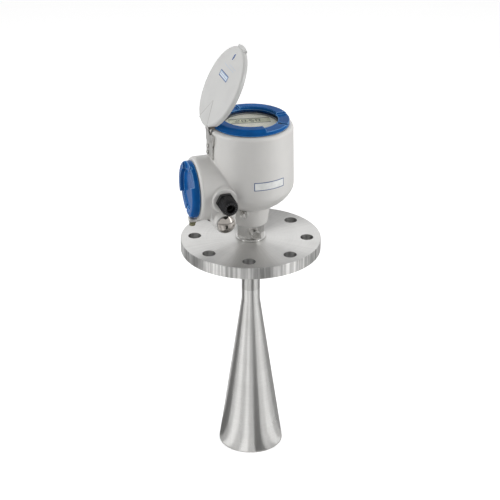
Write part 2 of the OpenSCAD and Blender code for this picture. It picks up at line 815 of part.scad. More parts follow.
module earth_clamp() {
    color("silver") at_earth() difference() {
        translate([-5, -5, 0]) cube([10, 10, 2]);
        translate([0, 0, -1]) cylinder(h = 5, d = earth_d + 2*run_gap);
    }
}

module earth_screw() {
    color("silver") at_earth() difference() {
        union() {
            translate([0, 0, -6]) cylinder(h = 9, d = earth_d);
            translate([0, 0, 2]) rotate_extrude() polygon([
                [0, 0], [4, 0], [4, 1.8], [3.4, 2.6], [0, 2.8]]);
        }
        translate([-5, -0.6, 3.4]) cube([10, 1.2, 3]);
    }
}

// ---- Sun cover and its hinge -----------------------------------------------------------

// Points on the drum's wall, which tapers a little to its shoulder
function wall_r(z) = drum_d/2
    - (drum_d - drum_top_d)/2*(z - drum_foot_z)/(drum_top_z - shoulder_r - drum_foot_z);

module hinge_bracket() {
    z0 = bracket_foot_z;
    z1 = drum_top_z - shoulder_r - 0.5;
    z_mid = strap_step_z;
    t = bracket_t;
    thick = t + 0.8;
    narrow = 2;
    root_x = wall_r(z1) + strap_lift + 0.6;
    color("silver") difference() {
        union() {
            rotate(180 - bracket_angle/2) rotate_extrude(angle = bracket_angle) polygon([
                [wall_r(z0) + strap_lift, z0], [wall_r(z0) + strap_lift + t, z0],
                [wall_r(z_mid) + strap_lift + t, z_mid],
                [wall_r(z_mid) + strap_lift + thick, z_mid],
                [wall_r(z1) + strap_lift + thick, z1], [wall_r(z1) + strap_lift, z1]]);
            // tongue from the strap's upper edge to the barrel
            translate([0, bracket_barrel_w/2, 0]) rotate([90, 0, 0])
                linear_extrude(height = bracket_barrel_w) {
                    translate([-hinge_x, hinge_z]) circle(d = barrel_d);
                    polygon([
                        [-root_x - t, z1 - 3], [-root_x, z1 - 3], [-root_x, z1 + 1.5],
                        [-hinge_x + barrel_d/2 - 1, hinge_z],
                        [-hinge_x - barrel_d/2 + 1, hinge_z]]);
                }
        }
        // the strap's lower half is narrower
        for (turn = [180 - bracket_angle/2 - 1, 180 + bracket_angle/2 - narrow])
            rotate(turn) rotate_extrude(angle = narrow + 1)
                translate([wall_r(z0) - 5, z0 - 1]) square([15, z_mid - z0 + 1]);
        translate([-hinge_x, 50, hinge_z]) rotate([90, 0, 0])
            cylinder(h = 100, d = pin_d + 2*fit_gap);
        for (z = bracket_screw_z) translate([0, 0, z]) rotate([0, -90, 0])
            translate([0, 0, 50]) cylinder(h = 20, d = bracket_screw_d + 0.4);
    }
}

module bracket_screws() {
    color("silver") for (z = bracket_screw_z)
        translate([0, 0, z]) rotate([0, -90, 0]) difference() {
            union() {
                translate([0, 0, drum_top_d/2 - 5]) cylinder(h = 8, d = bracket_screw_d);
                translate([0, 0, wall_r(z) + strap_lift + bracket_t + 0.2]) rotate_extrude()
                    polygon([[0, 0], [3, 0], [3, 1], [2.2, 1.8], [0, 2]]);
            }
            translate([0, 0, wall_r(z) + strap_lift + bracket_t + 1.5])
                cylinder(h = 3, r = 1.4, $fn = 6);
        }
}

module hinge_pin() {
    color("darkgoldenrod") translate([-hinge_x, pin_len/2, hinge_z]) rotate([90, 0, 0]) {
        cylinder(h = pin_len, d = pin_d);
        translate([0, 0, -pin_head_t]) cylinder(h = pin_head_t + 0.02, d = pin_d + 2.2);
        translate([0, 0, pin_len - 0.02]) cylinder(h = pin_head_t, d = pin_d + 2.2);
    }
}

// The sun cover as it lies closed over the window
module sun_cover_closed() {
    r = lid_d/2;
    t = lid_t;
    e = lid_edge_r;
    ear_y = bracket_barrel_w/2 + lid_gap;
    top = lid_top_z;
    difference() {
        union() {
            difference() {
                translate([lid_x, 0, 0]) rotate_extrude() polygon(concat(
                    [[0, top - t], [r - t - 1, top - t], [r - t, top - t - 1],
                        [r - t, lid_rim_z], [r, lid_rim_z]],
                    arc(r - e, top - e, e, 0, 90, 6),
                    [[0, top]]));
                // the skirt stops short of the hinge
                translate([lid_x - r - 5, -pin_len/2 - 2.5, lid_rim_z - 1])
                    cube([22, pin_len + 5, top - t - lid_rim_z + 1]);
            }
            // ridge
            intersection() {
                hull() {
                    translate([-hinge_x + ridge_len, 0, top - t]) cylinder(h = t, r = 0.2);
                    translate([-hinge_x - 2, 0, top - t]) rotate([90, 0, 90])
                        linear_extrude(height = 0.1) polygon([
                            [-ridge_half_w, 0], [ridge_half_w, 0], [ridge_half_w, t],
                            [ridge_half_w - 4, t + ridge_rise],
                            [4 - ridge_half_w, t + ridge_rise], [-ridge_half_w, t]]);
                }
                translate([lid_x, 0, hinge_z]) cylinder(h = 20, r = r + 2.5);
            }
            // an ear on each side of the barrel
            for (s = [-1, 1]) translate([0, s*(ear_y + ear_w/2) + ear_w/2, 0])
                rotate([90, 0, 0]) linear_extrude(height = ear_w) {
                    translate([-hinge_x, hinge_z]) circle(d = barrel_d);
                    translate([-hinge_x, 0]) polygon([
                        [-barrel_d/2 + 0.2, hinge_z], [barrel_d/2 - 0.2, hinge_z],
                        [9, top - t/2], [0.5, top - t/2]]);
                }
            // finger tab at the far side
            translate([lid_x, 0, 0]) rotate(-tab_angle/2) rotate_extrude(angle = tab_angle)
                polygon([
                    [r - 1, lid_rim_z], [r + tab_reach - 1, lid_rim_z],
                    [r + tab_reach, lid_rim_z + 1], [r + tab_reach, top - e - 0.5],
                    [r + tab_reach - 1, top - e + 0.5], [r - 1, top - e + 0.5]]);
        }
        translate([-hinge_x, 50, hinge_z]) rotate([90, 0, 0])
            cylinder(h = 100, d = pin_d + 2*run_gap);
    }
}

module sun_cover() {
    color("gainsboro") translate([-hinge_x, 0, hinge_z]) rotate([0, -lid_open, 0])
        translate([hinge_x, 0, -hinge_z]) sun_cover_closed();
}

// ---- Parts -----------------------------------------------------------------------------

flange();
feed_stub();
antenna_horn();
antenna_window();
window_seal_ring();
coupling_hex();
stub_seal_ring();
lock_washer();
lock_screw();
housing();
radar_module();
wire_feedthrough();
display_bezel();
display_glass();
key_up();
key_down();
key_enter();
key_back();
window_gasket();
window_ring();
window_glass();
glass_retainer();
terminal_block();
terminal_screws();
terminal_gasket();
terminal_cover();
stop_saddle();
stop_screw();
gland_body();
gland_seal();
gland_slip_ring();
gland_nut();
plug_seal_ring();
blind_plug();
earth_clamp();
earth_screw();
hinge_bracket();
bracket_screws();
hinge_pin();
sun_cover();
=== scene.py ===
"""Radar level transmitter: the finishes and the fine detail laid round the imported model.

The device stands on the mouth of its horn. Every length is in metres, in the frame of the
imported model: +Z up, the origin in the sealing face of the flange.
"""

import json
import logging
import math
from dataclasses import dataclass, field
from enum import Enum
from typing import Sequence

import bmesh
import bpy
import numpy as np
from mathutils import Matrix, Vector
from mathutils.bvhtree import BVHTree


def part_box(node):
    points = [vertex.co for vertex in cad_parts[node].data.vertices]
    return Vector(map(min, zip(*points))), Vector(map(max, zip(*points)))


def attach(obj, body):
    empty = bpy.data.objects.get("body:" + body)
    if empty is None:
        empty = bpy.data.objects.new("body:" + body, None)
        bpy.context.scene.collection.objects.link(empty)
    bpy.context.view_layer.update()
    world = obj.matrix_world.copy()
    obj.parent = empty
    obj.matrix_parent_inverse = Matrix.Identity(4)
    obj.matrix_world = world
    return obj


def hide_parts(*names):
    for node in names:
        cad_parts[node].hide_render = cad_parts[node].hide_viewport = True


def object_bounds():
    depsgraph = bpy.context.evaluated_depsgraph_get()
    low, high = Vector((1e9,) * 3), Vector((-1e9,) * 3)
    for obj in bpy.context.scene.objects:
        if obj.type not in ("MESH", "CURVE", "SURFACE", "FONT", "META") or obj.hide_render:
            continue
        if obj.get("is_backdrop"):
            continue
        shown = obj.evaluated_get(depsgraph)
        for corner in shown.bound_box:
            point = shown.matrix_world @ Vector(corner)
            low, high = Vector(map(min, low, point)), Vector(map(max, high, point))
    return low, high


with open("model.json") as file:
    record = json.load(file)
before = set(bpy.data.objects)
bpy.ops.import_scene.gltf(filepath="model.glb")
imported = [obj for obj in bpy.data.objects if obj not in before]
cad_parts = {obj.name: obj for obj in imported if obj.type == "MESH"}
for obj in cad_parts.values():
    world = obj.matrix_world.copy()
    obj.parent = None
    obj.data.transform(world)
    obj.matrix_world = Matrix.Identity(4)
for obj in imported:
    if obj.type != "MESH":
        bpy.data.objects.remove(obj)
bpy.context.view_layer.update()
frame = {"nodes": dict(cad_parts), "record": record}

LOG = logging.getLogger("transmitter")
MM = 0.001
WELD = 0.002 * MM
CLOUD = (0.3, 0.7)  # the part of a noise's range over which a finish varies
Colour = tuple[float, float, float]
Point2 = tuple[float, float]


# ---- Shader maths --------------------------------------------------------------------------


class Wire:
    """One output socket of a material, on which Python's arithmetic adds Math nodes."""

    def __init__(self, shop: "PaintShop", socket: bpy.types.NodeSocket) -> None:
        """Args: shop: the material's node maker. socket: the output that it stands for."""
        self.shop = shop
        self.socket = socket

    def _math(self, operation: str, first: object, second: object) -> "Wire":
        """Returns the output of a Math node fed with two wires or numbers."""
        return self.shop.node(
            "ShaderNodeMath", {"operation": operation}, {0: first, 1: second}
        )

    def __add__(self, other: object) -> "Wire":
        """Returns self + other."""
        return self._math("ADD", self, other)

    __radd__ = __add__

    def __sub__(self, other: object) -> "Wire":
        """Returns self - other."""
        return self._math("SUBTRACT", self, other)

    def __rsub__(self, other: object) -> "Wire":
        """Returns other - self."""
        return self._math("SUBTRACT", other, self)

    def __mul__(self, other: object) -> "Wire":
        """Returns self * other."""
        return self._math("MULTIPLY", self, other)

    __rmul__ = __mul__

    def __truediv__(self, other: object) -> "Wire":
        """Returns self / other."""
        return self._math("DIVIDE", self, other)

    def __pow__(self, other: object) -> "Wire":
        """Returns self to the power of other."""
        return self._math("POWER", self, other)

    def __abs__(self) -> "Wire":
        """Returns the value without its sign."""
        return self._math("ABSOLUTE", self, 0.0)

    def atleast(self, other: object) -> "Wire":
        """Returns the larger of self and other."""
        return self._math("MAXIMUM", self, other)

    def atmost(self, other: object) -> "Wire":
        """Returns the smaller of self and other."""
        return self._math("MINIMUM", self, other)


class PaintShop:
    """Builds one material, node by node."""

    def __init__(self, name: str) -> None:
        """Args: name: the material's name."""
        self.material = bpy.data.materials.new(name)
        self.material.use_nodes = True
        self.tree = self.material.node_tree
        self.tree.nodes.clear()
        self.out = self.tree.nodes.new("ShaderNodeOutputMaterial")

    def node(
        self,
        kind: str,
        settings: dict[str, object] | None = None,
        inputs: dict[int | str, object] | None = None,
        output: int | str = 0,
    ) -> Wire:
        """Adds a node, sets it up and feeds it.

        Args:
            kind: the node's type.
            settings: its properties; "ramp" holds a colour ramp's stops.
            inputs: a value, a Wire or None for each socket that is set.
            output: the socket that is handed back.

        Returns:
            The chosen output.
        """
        made = self.tree.nodes.new(kind)
        for key, value in (settings or {}).items():
            if key == "ramp":
                self._set_stops(made.color_ramp, value)
            else:
                setattr(made, key, value)
        for key, value in (inputs or {}).items():
            if isinstance(value, Wire):
                self.tree.links.new(value.socket, made.inputs[key])
            elif value is not None:
                made.inputs[key].default_value = value
        return Wire(self, made.outputs[output])

    @staticmethod
    def _set_stops(ramp: bpy.types.ColorRamp, stops: Sequence[tuple[float, Colour]]) -> None:
        """Gives a colour ramp its stops, each a position and a colour."""
        while len(ramp.elements) < len(stops):
            ramp.elements.new(0.5)
        for element, (place, colour) in zip(ramp.elements, stops):
            element.position = place
            element.color = (*colour, 1.0)

    def place(self) -> Wire:
        """Returns the point on the surface, in the model's frame."""
        return self.node("ShaderNodeTexCoord", output="Object")

    def parts(self, vector: Wire) -> tuple[Wire, Wire, Wire]:
        """Returns the three numbers of a vector."""
        first = self.node("ShaderNodeSeparateXYZ", inputs={0: vector}, output=0)
        outs = first.socket.node.outputs
        return first, Wire(self, outs[1]), Wire(self, outs[2])

    def join(self, x: object, y: object, z: object) -> Wire:
        """Returns a vector of three numbers."""
        return self.node("ShaderNodeCombineXYZ", inputs={0: x, 1: y, 2: z})

    def noise(self, vector: Wire, scale: float, detail: float = 2.0, rough: float = 0.5) -> Wire:
        """Returns a soft noise from 0 to 1."""
        return self.node(
            "ShaderNodeTexNoise",
            inputs={"Vector": vector, "Scale": scale, "Detail": detail, "Roughness": rough},
        )

    def fit(self, value: Wire, low: float, high: float, to: Point2 = (0.0, 1.0)) -> Wire:
        """Returns the value moved from low..high to the two ends of to, smoothly."""
        return self.node(
            "ShaderNodeMapRange",
            {"interpolation_type": "SMOOTHSTEP"},
            {"Value": value, 1: low, 2: high, 3: to[0], 4: to[1]},
        )

    def blend(self, share: object, first: object, second: object) -> Wire:
        """Returns two colours mixed; share is how much of the second there is."""
        feeds = {0: share, 6: self._rgba(first), 7: self._rgba(second)}
        return self.node("ShaderNodeMix", {"data_type": "RGBA"}, feeds, output=2)

    @staticmethod
    def _rgba(colour: object) -> object:
        """Returns a colour with an alpha, or the wire that it is."""
        return colour if isinstance(colour, Wire) else (*colour, 1.0)

    def bump(self, height: Wire, depth: float, strength: float = 1.0) -> Wire:
        """Returns a normal bent by a height from 0 to 1 that is depth metres high."""
        feeds = {"Height": height, "Distance": depth, "Strength": strength}
        return self.node("ShaderNodeBump", inputs=feeds, output="Normal")

    def shine(self, **sockets: object) -> bpy.types.Material:
        """Finishes the material with a Principled shader.

        Args:
            sockets: its inputs, with underscores for the spaces in their names.

        Returns:
            The material.
        """
        feeds = {key.replace("_", " "): value for key, value in sockets.items()}
        if "Base Color" in feeds:
            feeds["Base Color"] = self._rgba(feeds["Base Color"])
        surface = self.node("ShaderNodeBsdfPrincipled", inputs=feeds)
        self.tree.links.new(surface.socket, self.out.inputs["Surface"])
        return self.material


# ---- Finishes ------------------------------------------------------------------------------


@dataclass(frozen=True)
class TurnedSteel:
    """Stainless steel with the fine rings that a lathe or a belt leaves round an axis, with
    painted shade in its bolt holes and painted dark reflection streaks on an upright rim.
    """

    colour: Colour = (0.74, 0.735, 0.72)
    dark: Colour = (0.62, 0.615, 0.60)
    roughness: float = 0.26
    stretch: float = 0.75
    pitch: float = 0.35 * MM
    groove: float = 0.004 * MM
    hole_circle: float = 0.0
    hole_turn: float = 26.3
    hole_step: float = 45.0
    hole_edge: float = 9.15 * MM
    hole_shade: float = 0.45
    rim: tuple[float, float] | None = None
    rim_shade: float = 0.62

    def make(self, name: str) -> bpy.types.Material:
        """Returns the material. Args: name: its name."""
        shop = PaintShop(name)
        x, y, z = shop.parts(shop.place())
        radius = (x * x + y * y) ** 0.5
        angle = shop.node("ShaderNodeMath", {"operation": "ARCTAN2"}, {0: y, 1: x})
        along = (radius + z) / self.pitch
        rings = shop.noise(shop.join(along, angle * 0.6, 0.0), 1.0, 3.0, 0.65)
        streaks = shop.noise(shop.join(angle * 34.0, along * 0.004, 3.7), 1.0, 2.0)
        patches = shop.noise(shop.place(), 22.0, 3.0)
        tone = rings * 0.45 + streaks * 0.25 + patches * 0.3
        colour = shop.blend(shop.fit(tone, 0.32, 0.68), self.dark, self.colour)
        if self.hole_circle:
            # Painted shade: the walls of the bolt holes are darkened.
            inside = self._inside_holes(shop, radius, angle, z)
            dark = tuple(self.hole_shade * c for c in self.dark)
            colour = shop.blend(inside, colour, dark)
        if self.rim:
            # Painted reflection: beyond the rim threshold the steel is darkened in upright
            # streaks, standing in for the dark bands that an upright turned face mirrors.
            band = shop.noise(shop.join(angle * 26.0, 1.3, z * 6.0), 1.0, 3.0, 0.7)
            beyond = shop.fit(radius + z * self.rim[1], self.rim[0], self.rim[0] + 0.4 * MM)
            beyond = beyond * shop.fit(band, 0.36, 0.62)
            colour = shop.blend(beyond, colour, tuple(self.rim_shade * c for c in self.dark))
        return shop.shine(
            Base_Color=colour,
            Metallic=1.0,
            Roughness=shop.fit(tone, 0.25, 0.75, (self.roughness + 0.06, self.roughness - 0.05)),
            Anisotropic=self.stretch,
            Anisotropic_Rotation=0.25,
            Normal=shop.bump(rings, self.groove),
        )

    def _inside_holes(self, shop: PaintShop, radius: Wire, angle: Wire, z: Wire) -> Wire:
        """Returns 1 on the walls of the bolt holes and 0 elsewhere.

        Args:
            shop: the material's node maker.
            radius: distance from the axis.
            angle: angle round the axis, in radians.
            z: height; not used.
        """
        step = math.radians(self.hole_step)
        from_first = angle - math.radians(self.hole_turn) + step * 8.5
        folded = shop.node("ShaderNodeMath", {"operation": "MODULO"}, {0: from_first, 1: step})
        folded = folded - step * 0.5
        across = radius * shop.node("ShaderNodeMath", {"operation": "SINE"}, {0: folded})
        along = radius * shop.node("ShaderNodeMath", {"operation": "COSINE"}, {0: folded})
        along = along - self.hole_circle
        reach = (across * across + along * along) ** 0.5
        return shop.fit(reach, self.hole_edge, self.hole_edge + 0.3 * MM, (1.0, 0.0))


@dataclass(frozen=True)
class PlainSteel:
    """Steel of small turned, pressed or drawn pieces, with faint handling marks."""

    colour: Colour = (0.58, 0.57, 0.55)
    roughness: float = 0.28
    smudge: float = 0.08
    grain: float = 900.0

    def make(self, name: str) -> bpy.types.Material:
        """Returns the material. Args: name: its name."""
        shop = PaintShop(name)
        place = shop.place()
        grain = shop.noise(place, self.grain, 2.0)
        cloud = shop.noise(place, 60.0, 3.0)
        dull = tuple(0.82 * c for c in self.colour)
        return shop.shine(
            Base_Color=shop.blend(shop.fit(cloud, *CLOUD), dull, self.colour),
            Metallic=1.0,
            Roughness=shop.fit(
                cloud * 0.6 + grain * 0.4,
                *CLOUD,
                (self.roughness - self.smudge, self.roughness + self.smudge),
            ),
            Normal=shop.bump(grain, 0.01 * MM, 0.5),
        )


@dataclass(frozen=True)
class KnuckleSteel(PlainSteel):
    """The hinge bracket's steel, dark bronze round its rolled barrel: partly the barrel's tone,
    partly painted shade under the sun cover.
    """

    bronze_and_shade: Colour = (0.13, 0.10, 0.06)
    reach: float = 5.0 * MM

    def make(self, name: str) -> bpy.types.Material:
        """Returns the material. Args: name: its name."""
        shop = PaintShop(name)
        place = shop.place()
        x, _, z = shop.parts(place)
        hinge = CoverPlane().origin
        away = ((x - hinge.x) * (x - hinge.x) + (z - hinge.z) * (z - hinge.z)) ** 0.5
        grain = shop.noise(place, self.grain, 2.0)
        cloud = shop.noise(place, 60.0, 3.0)
        # Near the hinge axis the barrel turns dark bronze: partly its tone, partly painted shade
        # under the sun cover.
        barrel = shop.fit(away, self.reach, self.reach + 0.6 * MM, (1.0, 0.0))
        return shop.shine(
            Base_Color=shop.blend(barrel, self.colour, self.bronze_and_shade),
            Metallic=1.0,
            Roughness=shop.fit(cloud, *CLOUD, (self.roughness - 0.06, self.roughness + 0.06)),
            Normal=shop.bump(grain, 0.01 * MM, 0.5),
        )


@dataclass(frozen=True)
class CoatedCasting:
    """Powder coat on a die casting: a satin colour with a faint orange peel."""

    colour: Colour = (0.67, 0.66, 0.64)
    roughness: float = 0.36
    coat: float = 0.25
    peel: float = 0.03 * MM
    peel_scale: float = 520.0
    fillet: float = 0.0

    def make(self, name: str) -> bpy.types.Material:
        """Returns the material. Args: name: its name."""
        shop = PaintShop(name)
        place = shop.place()
        peel = shop.noise(place, self.peel_scale, 2.0)
        cloud = shop.noise(place, 26.0, 3.0)
        shade = tuple(0.955 * c for c in self.colour)
        return shop.shine(
            Base_Color=shop.blend(shop.fit(cloud, *CLOUD), shade, self.colour),
            Roughness=shop.fit(cloud, *CLOUD, (self.roughness + 0.04, self.roughness - 0.03)),
            Coat_Weight=self.coat,
            Coat_Roughness=0.22,
            Normal=self._rounded(shop, shop.bump(peel, self.peel, 0.35)),
        )

    def _rounded(self, shop: PaintShop, normal: Wire) -> Wire:
        """Returns the normal, bent round near the casting's inner and outer corners."""
        if not self.fillet:
            return normal
        settings = {"samples": 8}
        return shop.node("ShaderNodeBevel", settings, {"Radius": self.fillet, "Normal": normal})


@dataclass(frozen=True)
class CreasedCoat(CoatedCasting):
    """Powder coat of the sun cover, with painted shade along the two creases beside its pressed
    ridge, and a dark bronze tone near its hinge that is partly painted shade.
    """

    apex: float = 30.0 * MM
    spread: float = 18.5 / 31.0
    half_width: float = 0.35 * MM
    crease_shade: Colour = (0.30, 0.29, 0.28)
    bronze_and_shade: Colour = (0.07, 0.055, 0.035)
    ear_reach: float = 5.2 * MM

    def make(self, name: str) -> bpy.types.Material:
        """Returns the material. Args: name: its name."""
        shop = PaintShop(name)
        plane = CoverPlane()
        place = shop.place()
        x, y, z = shop.parts(place)
        u = (x - plane.origin.x) * plane.along.x + (z - plane.origin.z) * plane.along.z
        # Painted shade: a thin dark line along each crease beside the ridge.
        off = abs(abs(y) - (u * -1.0 + self.apex) * self.spread) * 0.86
        line = shop.fit(off, self.half_width, self.half_width * 2.4, (0.75, 0.0))
        line = line * shop.fit(u, self.apex - 0.5 * MM, self.apex, (1.0, 0.0))
        cloud = shop.noise(place, 26.0, 3.0)
        shade = tuple(0.955 * c for c in self.colour)
        body = shop.blend(shop.fit(cloud, *CLOUD), shade, self.colour)
        # Near the hinge axis the ears turn dark bronze: partly their tone, partly painted shade
        # round the knuckle under the lid.
        away_x = x - plane.origin.x
        away_z = z - plane.origin.z
        away = (away_x * away_x + away_z * away_z) ** 0.5
        ear = shop.fit(away, self.ear_reach, self.ear_reach + 0.4 * MM, (1.0, 0.0))
        body = shop.blend(ear, body, self.bronze_and_shade)
        return shop.shine(
            Base_Color=shop.blend(line, body, self.crease_shade),
            Roughness=shop.fit(cloud, *CLOUD, (self.roughness + 0.04, self.roughness - 0.03)),
            Coat_Weight=self.coat,
            Coat_Roughness=0.22,
            Normal=shop.bump(shop.noise(place, self.peel_scale, 2.0), self.peel, 0.35),
        )


@dataclass(frozen=True)
class GlossCoat:
    """Deep gloss paint, with a slow unevenness that bends what it mirrors, and a painted highlight
    of lighter blue along its edges.
    """

    colour: Colour = (0.006, 0.100, 0.345)
    roughness: float = 0.14
    specular: float = 0.05
    wave: float = 0.05 * MM
    edge: float = 2.6 * MM
    edge_highlight: Colour = (0.22, 0.47, 0.80)

    def make(self, name: str) -> bpy.types.Material:
        """Returns the material. Args: name: its name."""
        shop = PaintShop(name)
        place = shop.place()
        wave = shop.noise(place, 160.0, 2.0)
        cloud = shop.noise(place, 40.0, 2.0)
        deep = tuple(0.8 * c for c in self.colour)
        body = shop.blend(shop.fit(cloud, *CLOUD), deep, self.colour)
        # Painted highlight: near edges, where the bevelled normal turns away from the face's own,
        # the colour goes lighter blue.
        bent = shop.node("ShaderNodeBevel", {"samples": 8}, {"Radius": self.edge})
        flat = shop.node("ShaderNodeNewGeometry", output="Normal")
        alike = shop.node(
            "ShaderNodeVectorMath", {"operation": "DOT_PRODUCT"}, {0: bent, 1: flat}, "Value"
        )
        return shop.shine(
            Base_Color=shop.blend(shop.fit(alike, 0.82, 0.985, (0.8, 0.0)), body, self.edge_highlight),
            Roughness=shop.fit(cloud, *CLOUD, (self.roughness, self.roughness + 0.07)),
            Specular_IOR_Level=self.specular,
            Normal=shop.bump(wave, self.wave, 0.3),
        )


@dataclass(frozen=True)
class Moulding:
    """Moulded plastic or rubber with a fine grain."""

    colour: Colour = (0.02, 0.02, 0.022)
    roughness: float = 0.42
    grain: float = 1400.0
    depth: float = 0.02 * MM
    specular: float = 0.5

    def make(self, name: str) -> bpy.types.Material:
        """Returns the material. Args: name: its name."""
        shop = PaintShop(name)
        place = shop.place()
        grain = shop.noise(place, self.grain, 2.0)
        cloud = shop.noise(place, 90.0, 2.0)
        light = tuple(min(1.0, 1.18 * c + 0.004) for c in self.colour)
        return shop.shine(
            Specular_IOR_Level=self.specular,
            Base_Color=shop.blend(shop.fit(cloud, *CLOUD), self.colour, light),
            Roughness=shop.fit(cloud, *CLOUD, (self.roughness - 0.05, self.roughness + 0.06)),
            Normal=shop.bump(grain, self.depth, 0.4),
        )


@dataclass(frozen=True)
class ClearGlass:
    """The pane over the display: it lets nearly all light through and still mirrors a little."""

    tint: Colour = (0.10, 0.12, 0.13)
    alpha: float = 0.05

    def make(self, name: str) -> bpy.types.Material:
        """Returns the material. Args: name: its name."""
        shop = PaintShop(name)
        smear = shop.noise(shop.place(), 45.0, 2.0)
        return shop.shine(
            Base_Color=self.tint,
            Roughness=shop.fit(smear, 0.45, 0.75, (0.02, 0.08)),
            Alpha=shop.fit(smear, 0.3, 0.8, (self.alpha, self.alpha + 0.04)),
        )


# ---- Mesh making ---------------------------------------------------------------------------


def obj_of(name: str, bm: bmesh.types.BMesh) -> bpy.types.Object:
    """Turns a finished bmesh into an object of the scene, and frees it.

    Args:
        name: the piece's name.
        bm: its mesh, in place.

    Returns:
        The new object.
    """
    mesh = bpy.data.meshes.new(name)
    bm.to_mesh(mesh)
    bm.free()
    made = bpy.data.objects.new(name, mesh)
    bpy.context.scene.collection.objects.link(made)
    return made


def merged_copy(node: str) -> bmesh.types.BMesh:
    """Returns a closed, joined-up copy of a CAD node's mesh. Args: node: its name."""
    bm = bmesh.new()
    bm.from_mesh(frame["nodes"][node].data)
    bmesh.ops.remove_doubles(bm, verts=bm.verts, dist=WELD)
    bmesh.ops.dissolve_limit(
        bm, angle_limit=math.radians(0.4), verts=bm.verts, edges=bm.edges
    )
    return bm


def apply_modifiers(piece: bpy.types.Object) -> None:
    """Bakes a piece's modifiers into its mesh. Args: piece: the piece."""
    graph = bpy.context.evaluated_depsgraph_get()
    done = bpy.data.meshes.new_from_object(piece.evaluated_get(graph))
    piece.modifiers.clear()
    piece.data = done


def soften(piece: bpy.types.Object, width: float, segments: int = 2, angle: float = 32.0) -> None:
    """Rounds a piece's sharp edges and shades it smoothly between them.

    Args:
        piece: the piece.
        width: width of the rounding.
        segments: faces across the rounding.
        angle: the least angle in degrees between two faces that counts as an edge.
    """
    for face in piece.data.polygons:
        face.use_smooth = True
    bevel = piece.modifiers.new("edges", "BEVEL")
    bevel.width = width
    bevel.segments = segments
    bevel.limit_method = "ANGLE"
    bevel.angle_limit = math.radians(angle)
    bevel.miter_outer = "MITER_ARC"
    weighted = piece.modifiers.new("normals", "WEIGHTED_NORMAL")
    weighted.mode = "FACE_AREA_WITH_ANGLE"
    weighted.weight = 60
    apply_modifiers(piece)


def add_prism(bm: bmesh.types.BMesh, corners: Sequence[Vector], lift: Vector) -> None:
    """Adds a closed prism to a mesh.

    Args:
        bm: the mesh.
        corners: one end's outline.
        lift: the way from that end to the other.
    """
    low = [bm.verts.new(corner) for corner in corners]
    high = [bm.verts.new(corner + lift) for corner in corners]
    bm.faces.new(low[::-1])
    bm.faces.new(high)
    for i, corner in enumerate(low):
        j = (i + 1) % len(low)
        bm.faces.new((corner, low[j], high[j], high[i]))
    bmesh.ops.recalc_face_normals(bm, faces=bm.faces)


class CoverPlane:
    """The sun cover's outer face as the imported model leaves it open."""

    LIFT = 7.5 * MM

    def __init__(self) -> None:
        """Reads the hinge from the record."""
        joints = frame["record"]["behaviour"]["joints"]
        hinge = next(joint for joint in joints if joint["name"] == "sun_cover_hinge")
        angle = math.radians(-hinge["range_deg"][0])
        self.origin = Vector(hinge["pos_m"])
        self.along = Vector((math.cos(angle), 0.0, math.sin(angle)))
        self.out = Vector((-math.sin(angle), 0.0, math.cos(angle)))

    def point(self, u: float, y: float, lift: float = 0.0) -> Vector:
        """Returns a point of the face.

        Args:
            u: distance from the hinge axis along the face.
            y: distance from its middle line.
            lift: height over the face.
        """
        return self.origin + self.along * u + Vector((0, y, 0)) + self.out * (self.LIFT + lift)

    def strip(self, us: Point2, ys: Point2, lift: float) -> list[Vector]:
        """Returns the corners of a rectangle on the face, between two us and two ys."""
        (u0, u1), (y0, y1) = us, ys
        return [self.point(u, y, lift) for u, y in ((u0, y0), (u1, y0), (u1, y1), (u0, y1))]


# ---- The device ----------------------------------------------------------------------------


class Body(Enum):
    """The moving bodies that new pieces ride on."""

    HOUSING = "housing"
    SUN_COVER = "sun_cover"
    GLAND_NUT = "gland_nut"


